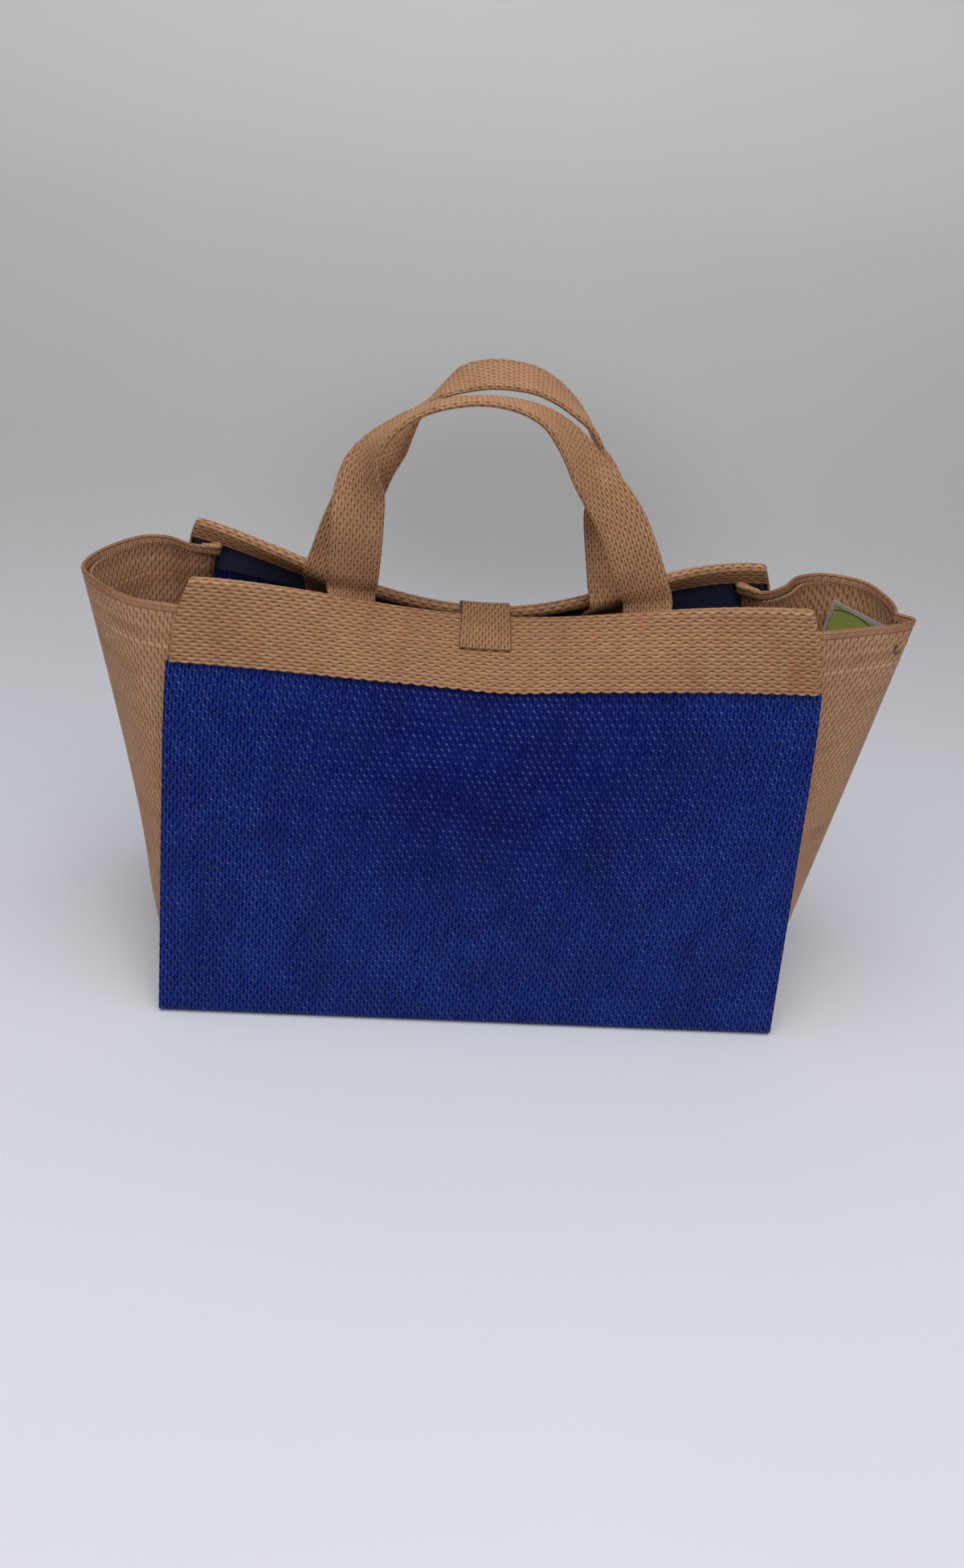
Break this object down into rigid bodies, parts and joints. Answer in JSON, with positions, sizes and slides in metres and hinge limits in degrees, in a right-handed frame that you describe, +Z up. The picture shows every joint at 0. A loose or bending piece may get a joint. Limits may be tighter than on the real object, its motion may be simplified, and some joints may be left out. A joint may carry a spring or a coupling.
{
  "type": "woven tote bag",
  "caption": "Small open tote bag of ribbed weave with flaring side gussets, bands folded over the mouth, webbing carry handles and a closing tab; it stands on its flat base.",
  "frame": {"origin": "on the floor, in the middle of the base's rectangle", "axes": "+X to the bag's right seen from its front, -Y towards its front, +Z up"},
  "size_m": [0.4109, 0.1492, 0.3168],
  "materials": {
    "blue_weave": "woven, slight sheen",
    "tan_weave": "woven, matt",
    "navy_facing": "plain, matt",
    "green_card": "printed card, satin",
    "clear_sleeve": "clear film"
  },
  "bodies": {
    "root": {"body_panel": "blue_weave", "left_gusset": "tan_weave", "right_gusset": "tan_weave", "front_band": "tan_weave", "back_band": "tan_weave", "front_facing": "navy_facing", "back_facing": "navy_facing", "front_handle": "tan_weave", "back_handle": "tan_weave", "closure_tab": "tan_weave", "label_card": "green_card", "card_sleeve": "clear_sleeve"}
  },
  "joints": []
}
